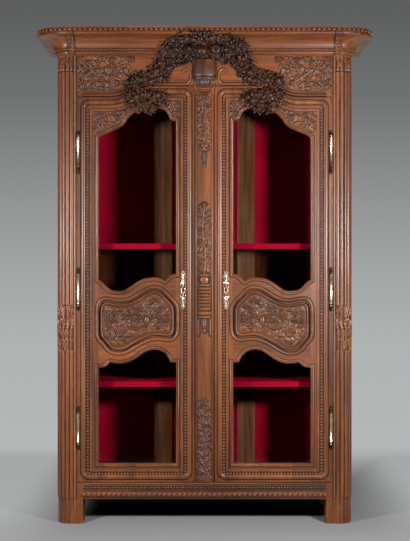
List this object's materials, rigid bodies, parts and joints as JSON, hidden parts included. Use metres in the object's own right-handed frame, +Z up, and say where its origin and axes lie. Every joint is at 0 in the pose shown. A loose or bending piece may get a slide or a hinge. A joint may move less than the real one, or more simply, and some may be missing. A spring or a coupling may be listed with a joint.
{
  "type": "display armoire",
  "caption": "Free-standing carved oak display armoire with glazed double doors, cloth-lined shelves, fluted rounded posts and a coved lift-off cornice with a flower garland.",
  "frame": {"origin": "On the floor, under the middle of the whole box.", "axes": "+Z up, front faces -Y, +X to the right seen from the front, left door on the -X side."},
  "size_m": [1.607, 0.612, 2.337],
  "materials": {
    "oak": "waxed red-brown oak",
    "carved_oak": "darkened carved oak",
    "red_cloth": "matt crimson cloth on board",
    "brass": "polished pale brass",
    "iron": "dark iron",
    "glass": "clear flat glass"
  },
  "bodies": {
    "carcass": {"front_post_left": "oak", "front_post_right": "oak", "back_post_left": "oak", "back_post_right": "oak", "side_bottom_rail_left": "oak", "side_bottom_rail_right": "oak", "side_top_rail_left": "oak", "side_top_rail_right": "oak", "side_panel_left": "oak", "side_panel_right": "oak", "side_lining_left": "red_cloth", "side_lining_right": "red_cloth", "back_muntin_left": "oak", "back_muntin_right": "oak", "cornice_left": "oak", "cornice_right": "oak", "frieze_rail": "oak", "front_bottom_rail": "oak", "back_board": "oak", "floor_board": "oak", "top_board": "oak", "upper_shelf": "red_cloth", "lower_shelf": "red_cloth", "cornice_front": "oak", "frieze_garland": "carved_oak", "lower_hinge_pin_left": "brass", "middle_hinge_pin_left": "brass", "upper_hinge_pin_left": "brass", "lower_hinge_pin_right": "brass", "middle_hinge_pin_right": "brass", "upper_hinge_pin_right": "brass"},
    "left_door": {"door_outer_stile_left": "oak", "door_inner_stile_left": "oak", "door_top_rail_left": "oak", "door_upper_cross_rail_left": "oak", "door_lower_cross_rail_left": "oak", "door_bottom_rail_left": "oak", "door_panel_left": "carved_oak", "door_upper_glass_left": "glass", "door_lower_glass_left": "glass", "key_plate_left": "brass", "lower_hinge_knuckle_left": "brass", "middle_hinge_knuckle_left": "brass", "upper_hinge_knuckle_left": "brass", "centre_strip": "oak"},
    "right_door": {"door_outer_stile_right": "oak", "door_inner_stile_right": "oak", "door_top_rail_right": "oak", "door_upper_cross_rail_right": "oak", "door_lower_cross_rail_right": "oak", "door_bottom_rail_right": "oak", "door_panel_right": "carved_oak", "door_upper_glass_right": "glass", "door_lower_glass_right": "glass", "key_plate_right": "brass", "lower_hinge_knuckle_right": "brass", "middle_hinge_knuckle_right": "brass", "upper_hinge_knuckle_right": "brass", "lock_case": "iron"},
    "lock_bolt": {"lock_bolt": "iron"}
  },
  "joints": [
    {"name": "left_door_hinge", "type": "hinge", "parent": "carcass", "child": "left_door", "pos_m": [-0.59925, -0.2092, 1.1], "axis": [0, 0, -1], "range_deg": [0, 120]},
    {"name": "right_door_hinge", "type": "hinge", "parent": "carcass", "child": "right_door", "pos_m": [0.59925, -0.2092, 1.1], "axis": [0, 0, 1], "range_deg": [0, 120]},
    {"name": "lock_bolt_slide", "type": "slide", "parent": "right_door", "child": "lock_bolt", "axis": [-1, 0, 0], "range_m": [0, 0.012]}
  ]
}
